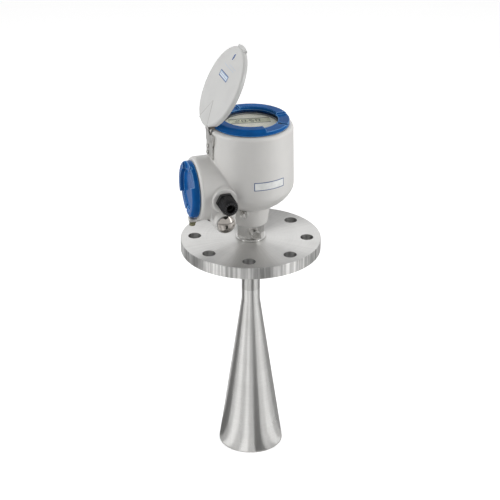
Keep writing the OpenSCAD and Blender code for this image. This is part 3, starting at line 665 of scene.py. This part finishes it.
class Finishes:
    """Every material of the device, made once."""

    RECIPES: dict[str, object] = {
        "flange_steel": TurnedSteel(
            (0.86, 0.855, 0.84),
            (0.74, 0.735, 0.72),
            roughness=0.42,
            stretch=0.9,
            hole_circle=80.0 * MM,
            rim=(99.4 * MM, 0.0),
        ),
        "horn_steel": TurnedSteel(
            roughness=0.3, stretch=0.7, pitch=0.5 * MM, rim=(-48.0 * MM, 1.0), rim_shade=0.7
        ),
        "turned_steel": TurnedSteel(roughness=0.2, stretch=0.5),
        "polished_steel": PlainSteel((0.46, 0.43, 0.40), 0.11, 0.04),
        "fastener_steel": PlainSteel(),
        "bracket_steel": KnuckleSteel((0.60, 0.59, 0.57), 0.3),
        "bronze_steel": PlainSteel((0.16, 0.12, 0.07), 0.3),
        "stop_steel": PlainSteel((0.22, 0.21, 0.13), 0.34),
        "housing_paint": CoatedCasting(fillet=5.0 * MM),
        "lid_paint": CreasedCoat((0.575, 0.575, 0.565), 0.4, 0.12),
        "cover_paint": GlossCoat(),
        "retainer_metal": PlainSteel((0.55, 0.56, 0.57), 0.35),
        "seal_rubber": Moulding((0.012, 0.012, 0.012), 0.6),
        "gland_plastic": Moulding((0.008, 0.008, 0.009), 0.36, specular=0.22),
        "window_plastic": Moulding((0.86, 0.86, 0.83), 0.3),
        "module_plastic": Moulding((0.03, 0.034, 0.038), 0.5),
        "bezel_plastic": Moulding((0.78, 0.77, 0.66), 0.35),
        "display_plastic": Moulding((0.66, 0.67, 0.50), 0.25),
        "key_plastic": Moulding((0.30, 0.32, 0.34), 0.4),
        "terminal_plastic": Moulding((0.02, 0.11, 0.05), 0.4),
        "wire_plastic": Moulding((0.08, 0.05, 0.03), 0.5),
        "glass": ClearGlass(),
        "finger_plastic": Moulding((0.05, 0.05, 0.052), 0.4),
        "plate_white": Moulding((0.72, 0.73, 0.72), 0.35),
        "plate_blue": Moulding((0.006, 0.05, 0.20), 0.3),
        "plate_haze": Moulding((0.33, 0.44, 0.60), 0.35),
        "print_black": Moulding((0.012, 0.013, 0.014), 0.4),
    }

    def __init__(self) -> None:
        """Makes the materials."""
        self.made = {slot: recipe.make(slot) for slot, recipe in self.RECIPES.items()}

    def coat(self, piece: bpy.types.Object, slot: str) -> None:
        """Gives a piece one material. Args: piece: the piece. slot: the finish's name."""
        piece.data.materials.clear()
        piece.data.materials.append(self.made[slot])


@dataclass
class Skins:
    """The CAD nodes, each with its own finish and its edges rounded as the real ones are."""

    finishes: Finishes
    fine: float = 0.25 * MM
    widths: dict[str, float] = field(
        default_factory=lambda: {
            "flange": 0.5 * MM,
            "window_ring": 0.6 * MM,
            "terminal_cover": 0.6 * MM,
            "sun_cover": 0.35 * MM,
            "coupling_hex": 0.35 * MM,
            "earth_clamp": 0.3 * MM,
            "blind_plug": 0.3 * MM,
        }
    )

    def dress(self) -> None:
        """Covers each node with a softened copy in its finish."""
        slots = {s["node"]: s["material_slot"] for s in frame["record"]["subparts"]}
        for body, nodes in frame["record"]["behaviour"]["bodies"].items():
            for node in nodes:
                self.cover(node, body, slots[node])

    def cover(self, node: str, body: str, slot: str) -> None:
        """Stands a softened copy in for one node.

        Args:
            node: the CAD node's name.
            body: the body that it moves with.
            slot: the material slot of its finish.
        """
        piece = obj_of(f"{node}_skin", merged_copy(node))
        soften(piece, self.widths.get(node, self.fine))
        self.finishes.coat(piece, slot)
        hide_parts(node)
        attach(piece, body)
        LOG.info("%s: %d faces", piece.name, len(piece.data.polygons))


@dataclass
class Detail:
    """A maker of thin pieces that the casting and the covers carry."""

    finishes: Finishes

    def settle(
        self, name: str, bm: bmesh.types.BMesh, slot: str, body: Body
    ) -> bpy.types.Object:
        """Turns a mesh into a finished piece of the device.

        Args:
            name: the piece's name.
            bm: its mesh.
            slot: the finish.
            body: the body that it moves with.

        Returns:
            The piece.
        """
        piece = obj_of(name, bm)
        self.finishes.coat(piece, slot)
        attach(piece, body.value)
        LOG.info("%s: %d faces", piece.name, len(piece.data.polygons))
        return piece


@dataclass
class CoverLabels(Detail):
    """The bare label place, the oval badge and the faint lines on the sun cover's face."""

    label_u: tuple[float, float] = (61.0 * MM, 69.6 * MM)
    label_y: tuple[float, float] = (-11.0 * MM, 23.0 * MM)
    border: float = 1.1 * MM
    badge_u: float = 95.0 * MM
    badge_y: float = 3.0 * MM
    badge_half: Point2 = (5.2 * MM, 2.2 * MM)
    lines: tuple[tuple[float, float, float], ...] = (
        (79.0 * MM, -18.0 * MM, 22.0 * MM),
        (83.0 * MM, -22.0 * MM, 5.0 * MM),
    )
    sheet: float = 0.12 * MM
    first_layer: float = 0.02 * MM
    second_layer: float = 0.14 * MM
    third_layer: float = 0.21 * MM
    bands: tuple[float, float] = (0.30, 0.62)
    band_half: float = 0.6 * MM
    band_inset: float = 2.4 * MM
    line_half: float = 0.2 * MM
    badge_corners: int = 40
    badge_lean: float = 0.16

    def build(self) -> None:
        """Makes the pieces."""
        plane = CoverPlane()
        sheet = plane.out * self.sheet
        frame_bm = bmesh.new()
        add_prism(frame_bm, self._square(plane, 0.0, self.first_layer), sheet)
        self.settle("cover_label_frame", frame_bm, "plate_blue", Body.SUN_COVER)
        haze = bmesh.new()
        add_prism(haze, self._square(plane, self.border, self.second_layer), sheet * 0.5)
        self.settle("cover_label_plate", haze, "plate_haze", Body.SUN_COVER)
        bars = bmesh.new()
        low, high = self.label_u
        for share in self.bands:
            u = low + (high - low) * share
            across = (u - self.band_half, u + self.band_half)
            ends = (self.label_y[0] + self.band_inset, self.label_y[1] - self.band_inset)
            add_prism(bars, plane.strip(across, ends, self.third_layer), sheet * 0.3)
        self.settle("cover_label_bands", bars, "plate_white", Body.SUN_COVER)
        self._badge(plane, sheet)
        faint = bmesh.new()
        for u, start, end in self.lines:
            across = (u - self.line_half, u + self.line_half)
            add_prism(faint, plane.strip(across, (start, end), self.first_layer), sheet * 0.5)
        self.settle("cover_lines", faint, "plate_haze", Body.SUN_COVER)

    def _square(self, plane: CoverPlane, inset: float, lift: float) -> list[Vector]:
        """Returns the corners of the label place, drawn in by inset and lifted."""
        (u0, u1), (y0, y1) = self.label_u, self.label_y
        return plane.strip((u0 + inset, u1 - inset), (y0 + inset, y1 - inset), lift)

    def _badge(self, plane: CoverPlane, sheet: Vector) -> None:
        """Makes the oval badge. Args: plane: the face. sheet: its thickness, outwards."""
        for name, slot, grow, lift in (
            ("cover_badge_rim", "plate_white", 0.9 * MM, self.first_layer),
            ("cover_badge", "plate_blue", 0.0, self.second_layer),
        ):
            bm = bmesh.new()
            corners = []
            for i in range(self.badge_corners):
                a = math.tau * i / self.badge_corners
                u = self.badge_u + (self.badge_half[0] + grow) * math.cos(a)
                y = self.badge_y + (self.badge_half[1] + grow) * math.sin(a)
                corners.append(plane.point(u, y - self.badge_lean * (u - self.badge_u), lift))
            add_prism(bm, corners, sheet)
            self.settle(name, bm, slot, Body.SUN_COVER)


@dataclass
class DrumPlate(Detail):
    """The bare label place on the drum's wall: a pale plate in a blue frame."""

    turn: float = -80.5
    middle_z: float = 123.0 * MM
    half: Point2 = (23.0 * MM, 6.0 * MM)
    border: float = 1.0 * MM

    def build(self) -> None:
        """Makes the frame and the plate."""
        bm = bmesh.new()
        bm.from_mesh(frame["nodes"]["housing"].data)
        self.casting = BVHTree.FromBMesh(bm)
        bm.free()
        for name, slot, inset, low, high in (
            ("drum_label_frame", "plate_blue", 0.0, 0.03 * MM, 0.16 * MM),
            ("drum_label_plate", "plate_white", self.border, 0.19 * MM, 0.26 * MM),
        ):
            self.settle(name, self._bent(inset, low, high), slot, Body.HOUSING)

    def _wall(self, angle: float, z: float) -> float:
        """Returns the drum's radius at an angle and a height, found on the CAD mesh."""
        out = Vector((math.cos(angle), math.sin(angle), 0.0))
        spot, _, _, _ = self.casting.ray_cast(out * 0.2 + Vector((0, 0, z)), -out)
        if spot is None:
            raise ValueError(f"no drum wall at {math.degrees(angle):.1f} degrees")
        return math.hypot(spot.x, spot.y)

    def _bent(self, inset: float, low: float, high: float) -> bmesh.types.BMesh:
        """Returns a closed sheet on the drum's wall.

        Args:
            inset: how much smaller it is than the frame, all round.
            low: height of its inner face over the wall.
            high: height of its outer face over the wall.
        """
        steps = 28
        z0 = self.middle_z - self.half[1] + inset
        z1 = self.middle_z + self.half[1] - inset
        reach = (self.half[0] - inset) / self._wall(math.radians(self.turn), self.middle_z)
        bm = bmesh.new()
        rings = []
        for i in range(steps + 1):
            angle = math.radians(self.turn) - reach + 2 * reach * i / steps
            out = Vector((math.cos(angle), math.sin(angle), 0.0))
            section = []
            for z, lift in ((z0, low), (z0, high), (z1, high), (z1, low)):
                spot = out * (self._wall(angle, z) + lift) + Vector((0, 0, z))
                section.append(bm.verts.new(spot))
            rings.append(section)
        for first, second in zip(rings, rings[1:]):
            for i in range(4):
                j = (i + 1) % 4
                bm.faces.new((first[i], first[j], second[j], second[i]))
        bm.faces.new(rings[0][::-1])
        bm.faces.new(rings[-1])
        bmesh.ops.recalc_face_normals(bm, faces=bm.faces)
        return bm


@dataclass
class Screen(Detail):
    """What the display shows: two dark bars and a row of plain digits between them."""

    turn: float = -8.0
    middle: Point2 = (0.0, 12.0 * MM)
    half: Point2 = (28.5 * MM, 8.2 * MM)
    bar: float = 1.5 * MM
    digits: str = "20.50"
    digit: Point2 = (6.4 * MM, 8.6 * MM)
    stroke: float = 1.3 * MM
    ink: float = 0.1 * MM
    row_start: float = -20.0 * MM
    row_gap: float = 2.6 * MM
    dot_back: float = 1.6 * MM
    SEGMENTS = {"0": "abcdef", "2": "abged", "5": "afgcd"}

    def build(self) -> None:
        """Makes the bars and the digits."""
        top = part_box("display_glass")[1][2] + 0.02 * MM
        bars = bmesh.new()
        for side in (-1, 1):
            y = side * self.half[1]
            low = (-self.half[0], y - self.bar / 2)
            high = (self.half[0], y + self.bar / 2)
            self._stroke(bars, low, high, top)
        self.settle("display_bars", bars, "print_black", Body.HOUSING)
        row = bmesh.new()
        x = self.row_start
        for mark in self.digits:
            if mark == ".":
                dot = (x - self.dot_back, -self.digit[1] / 2)
                self._stroke(row, dot, (dot[0] + self.stroke, dot[1] + self.stroke), top)
                x += self.dot_back
                continue
            self._digit(row, mark, x, top)
            x += self.digit[0] + self.row_gap
        self.settle("display_digits", row, "print_black", Body.HOUSING)

    def _digit(self, bm: bmesh.types.BMesh, mark: str, x: float, top: float) -> None:
        """Adds one digit of straight strokes, its left edge at x."""
        w, h = self.digit
        s = self.stroke
        gap = 0.15 * MM
        places = {
            "a": (s + gap, h / 2 - s, w - s - gap, h / 2),
            "g": (s + gap, -s / 2, w - s - gap, s / 2),
            "d": (s + gap, -h / 2, w - s - gap, s - h / 2),
            "f": (0, gap, s, h / 2),
            "b": (w - s, gap, w, h / 2),
            "e": (0, -h / 2, s, -gap),
            "c": (w - s, -h / 2, w, -gap),
        }
        for key in self.SEGMENTS[mark]:
            x0, y0, x1, y1 = places[key]
            self._stroke(bm, (x + x0, y0), (x + x1, y1), top)

    def _stroke(self, bm: bmesh.types.BMesh, low: Point2, high: Point2, top: float) -> None:
        """Adds one upright bar, given two corners beside the screen's middle."""
        turn = math.radians(self.turn)
        corners = []
        for x, y in (low, (high[0], low[1]), high, (low[0], high[1])):
            x, y = x + self.middle[0], y + self.middle[1]
            across = x * math.cos(turn) - y * math.sin(turn)
            along = x * math.sin(turn) + y * math.cos(turn)
            corners.append(Vector((across, along, top)))
        add_prism(bm, corners, Vector((0, 0, self.ink)))


@dataclass
class GlandRibs(Detail):
    """Lengthwise ribs on the cap nut of the cable gland, and the fingers at its open end."""

    flutes: int = 12
    width: float = 1.2 * MM
    height: float = 0.55 * MM
    length: float = 12.0 * MM
    root: float = 0.25 * MM
    shoulder: float = 1.2 * MM
    finger_height: float = 0.5 * MM
    fingers: int = 16
    finger: tuple[float, float] = (6.3 * MM, 8.8 * MM)

    def build(self) -> None:
        """Makes the ribs between the nut's flutes, and the fingers on its open end."""
        low, high = (Vector(corner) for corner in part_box("gland_nut"))
        axis = (low + high) / 2
        radius = (high.x - low.x) / 2
        bm = bmesh.new()
        for i in range(2 * self.flutes):
            turn = math.tau * (i // 2 + (1 + i % 2) / 3) / self.flutes
            out = Vector((math.cos(turn), 0, math.sin(turn)))
            side = Vector((-math.sin(turn), 0, math.cos(turn))) * (self.width / 2)
            start = Vector((axis.x, high.y - self.shoulder, axis.z)) + out * (radius - self.root)
            tip = out * (self.height + self.root)
            crest = start + tip
            corners = [start - side, start + side, crest + side * 0.5, crest - side * 0.5]
            add_prism(bm, corners, Vector((0, -self.length, 0)))
        self.settle("gland_ribs", bm, "gland_plastic", Body.GLAND_NUT)
        ends = bmesh.new()
        for i in range(self.fingers):
            turn = math.tau * i / self.fingers
            out = Vector((math.cos(turn), 0, math.sin(turn)))
            side = Vector((-math.sin(turn), 0, math.cos(turn))) * (self.width / 2)
            middle = Vector((axis.x, low.y - 0.02 * MM, axis.z))
            inner, outer = (middle + out * reach for reach in self.finger)
            corners = [inner - side * 0.7, inner + side * 0.7, outer + side, outer - side]
            add_prism(ends, corners, Vector((0, -self.finger_height, 0)))
        self.settle("gland_fingers", ends, "finger_plastic", Body.GLAND_NUT)


# ---- The studio ----------------------------------------------------------------------------


@dataclass(frozen=True)
class Lamp:
    """A square soft box, aimed at the device; its turn is measured as a card's is."""

    name: str
    turn: float
    reach: float
    height: float
    size: float
    power: float


@dataclass(frozen=True)
class Card:
    """An upright card beside the device that only reflections show, bright or dark.

    The turn is measured from the camera's direction, to the right as the camera sees it.
    """

    name: str
    turn: float
    reach: float
    width: float
    low: float
    high: float
    glow: float


@dataclass(frozen=True)
class Mat:
    """A sector laid on the floor round the horn that only reflections show."""

    name: str
    turn: float
    spread: float
    glow: float


@dataclass(frozen=True)
class Sky:
    """A patch of a dome that only reflections show; low and high are its elevations."""

    name: str
    turn: float
    spread: float
    low: float
    high: float
    glow: float


@dataclass
class Studio:
    """Floor, lamps, cards, world and camera."""

    range_m: float = 2.0091
    rise_m: float = 0.9691
    turn: float = -17.0
    pitch: float = 26.252
    pan: float = -0.0292
    lens: float = 112.65
    sensor: float = 36.0
    floor_size: float = 14.0
    aim_z: float = 0.020
    ambient: float = 0.40
    lamp_aim_z: float = 0.05
    mat_reach: Point2 = (0.049, 1.3)
    sky_reach: float = 3.0
    lamps: tuple[Lamp, ...] = (
        Lamp("left", -82.0, 1.7, 0.75, 1.1, 18.0),
        Lamp("right", 78.0, 1.7, 0.70, 1.1, 18.5),
        Lamp("top", 150.0, 0.7, 2.1, 1.0, 9.0),
    )
    cards: tuple[Card, ...] = (
        Card("card_left", -58.0, 1.0, 0.22, 0.0, 1.2, 3.0),
        Card("card_right", 64.0, 1.0, 0.22, 0.0, 1.2, 3.2),
    )
    skies: tuple[Sky, ...] = (
        Sky("sky_low", 0.0, 360.0, -2.0, 44.0, 0.88),
        Sky("sky_high", 0.0, 360.0, 44.0, 90.0, 0.05),
    )
    mats: tuple[Mat, ...] = (
        Mat("mat_front_right", 22.0, 24.0, 0.10),
        Mat("mat_front_left", -15.0, 18.0, 1.15),
        Mat("mat_left", -57.0, 22.0, 1.15),
        Mat("mat_far_left", -108.0, 40.0, 0.14),
        Mat("mat_right", 70.0, 24.0, 1.05),
        Mat("mat_far_right", 130.0, 50.0, 0.35),
    )

    def build(self) -> None:
        """Sets up everything round the device."""
        self.floor()
        self.world()
        self.hang_lamps()
        self.stand_cards()
        self.lay_mats()
        self.spread_sky()
        self.camera()

    def spot(self, turn: float, reach: float, height: float) -> Vector:
        """Returns a point beside the device.

        Args:
            turn: angle from the camera's direction, in degrees.
            reach: distance from the device's axis.
            height: height in the model's frame.
        """
        angle = math.radians(self.turn - 90.0 + turn)
        return Vector((reach * math.cos(angle), reach * math.sin(angle), height))

    def floor(self) -> None:
        """Lays a pale floor under the horn's mouth."""
        bm = bmesh.new()
        bmesh.ops.create_grid(bm, x_segments=1, y_segments=1, size=self.floor_size / 2)
        bmesh.ops.translate(bm, verts=bm.verts, vec=(0, 0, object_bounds()[0][2]))
        floor = obj_of("floor", bm)
        shop = PaintShop("floor_white")
        rays = shop.node("ShaderNodeLightPath", output="Is Camera Ray")
        base = shop.node("ShaderNodeBsdfDiffuse", inputs={"Color": (0.80, 0.80, 0.80, 1)})
        glow = shop.node("ShaderNodeEmission", inputs={"Color": (1, 1, 1, 1), "Strength": 0.55})
        both = shop.node("ShaderNodeAddShader", inputs={0: base, 1: glow})
        mixed = shop.node("ShaderNodeMixShader", inputs={0: rays, 1: base, 2: both})
        shop.tree.links.new(mixed.socket, shop.out.inputs["Surface"])
        floor.data.materials.append(shop.material)
        floor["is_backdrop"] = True

    def world(self) -> None:
        """Lights the room evenly, and shows it white behind the device."""
        world = bpy.data.worlds.new("studio")
        world.use_nodes = True
        tree = world.node_tree
        rays = tree.nodes.new("ShaderNodeLightPath")
        light = tree.nodes["Background"]
        white = tree.nodes.new("ShaderNodeBackground")
        for background, strength in ((light, self.ambient), (white, 1.0)):
            background.inputs["Color"].default_value = (1, 1, 1, 1)
            background.inputs["Strength"].default_value = strength
        mixed = tree.nodes.new("ShaderNodeMixShader")
        tree.links.new(rays.outputs["Is Camera Ray"], mixed.inputs[0])
        tree.links.new(light.outputs[0], mixed.inputs[1])
        tree.links.new(white.outputs[0], mixed.inputs[2])
        tree.links.new(mixed.outputs[0], tree.nodes["World Output"].inputs["Surface"])
        bpy.context.scene.world = world

    def hang_lamps(self) -> None:
        """Hangs the soft boxes."""
        for lamp in self.lamps:
            light = bpy.data.lights.new(lamp.name, "AREA")
            light.shape = "SQUARE"
            light.size = lamp.size
            light.energy = lamp.power
            holder = bpy.data.objects.new(lamp.name, light)
            holder.location = self.spot(lamp.turn, lamp.reach, lamp.height)
            aim = Vector((0, 0, self.lamp_aim_z)) - holder.location
            holder.rotation_euler = aim.to_track_quat("-Z", "Y").to_euler()
            holder.visible_glossy = False
            bpy.context.scene.collection.objects.link(holder)

    def stand_cards(self) -> None:
        """Stands the cards up round the device."""
        for card in self.cards:
            middle = self.spot(card.turn, card.reach, 0.0)
            side = Vector((-middle.y, middle.x, 0.0)).normalized() * (card.width / 2)
            corners = [
                middle - side + Vector((0, 0, card.low)),
                middle + side + Vector((0, 0, card.low)),
                middle + side + Vector((0, 0, card.high)),
                middle - side + Vector((0, 0, card.high)),
            ]
            self.reflected(card.name, [corners], card.glow)

    def lay_mats(self) -> None:
        """Lays the sectors on the floor."""
        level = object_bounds()[0][2] + 1.0 * MM
        for mat in self.mats:
            turns = list(np.linspace(mat.turn - mat.spread / 2, mat.turn + mat.spread / 2, 6))
            inner, outer = self.mat_reach
            corners = [self.spot(turn, inner, level) for turn in turns]
            corners += [self.spot(turn, outer, level) for turn in reversed(turns)]
            self.reflected(mat.name, [corners], mat.glow)

    def spread_sky(self) -> None:
        """Spans the dome's patches."""
        reach = self.sky_reach
        for sky in self.skies:
            turns = np.linspace(sky.turn - sky.spread / 2, sky.turn + sky.spread / 2, 25)
            lifts = np.radians(np.linspace(sky.low, sky.high, 10))
            rows = [
                [self.spot(turn, reach * math.cos(lift), reach * math.sin(lift)) for turn in turns]
                for lift in lifts
            ]
            faces = [
                [low[i], low[i + 1], high[i + 1], high[i]]
                for low, high in zip(rows, rows[1:])
                for i in range(len(turns) - 1)
            ]
            self.reflected(sky.name, faces, sky.glow)

    @staticmethod
    def reflected(name: str, faces: Sequence[Sequence[Vector]], glow: float) -> None:
        """Adds a sheet to the studio that only glossy rays see.

        Args:
            name: its name.
            faces: the corners of each of its faces.
            glow: its brightness, as a share of white.
        """
        bm = bmesh.new()
        for corners in faces:
            bm.faces.new([bm.verts.new(corner) for corner in corners])
        bmesh.ops.remove_doubles(bm, verts=bm.verts, dist=0.1 * MM)
        piece = obj_of(name, bm)
        shop = PaintShop(name)
        light = shop.node(
            "ShaderNodeEmission", inputs={"Color": (1, 1, 1, 1), "Strength": glow}
        )
        shop.tree.links.new(light.socket, shop.out.inputs["Surface"])
        piece.data.materials.append(shop.material)
        piece.visible_camera = False
        piece.visible_diffuse = False
        piece.visible_shadow = False
        piece.visible_transmission = False
        piece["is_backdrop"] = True

    def camera(self) -> None:
        """Puts the camera in front of the device, looking a little down."""
        turn = math.radians(self.turn)
        camera = bpy.data.cameras.new("camera")
        camera.sensor_width = self.sensor
        camera.lens = self.lens
        camera.clip_end = 40.0
        holder = bpy.data.objects.new("camera", camera)
        holder.location = (
            self.range_m * math.sin(turn),
            -self.range_m * math.cos(turn),
            self.aim_z + self.rise_m,
        )
        yaw = turn - math.radians(self.pan)
        holder.rotation_euler = (math.radians(90.0 - self.pitch), 0.0, yaw)
        bpy.context.scene.collection.objects.link(holder)
        bpy.context.scene.camera = holder


def main() -> None:
    """Builds the dressed device and its studio."""
    logging.basicConfig(level=logging.INFO, format="%(name)s %(message)s")
    bpy.context.scene.view_settings.view_transform = "Standard"
    finishes = Finishes()
    Skins(finishes).dress()
    for maker in (CoverLabels, DrumPlate, Screen, GlandRibs):
        maker(finishes).build()
    Studio().build()


if __name__ == "__main__":
    main()
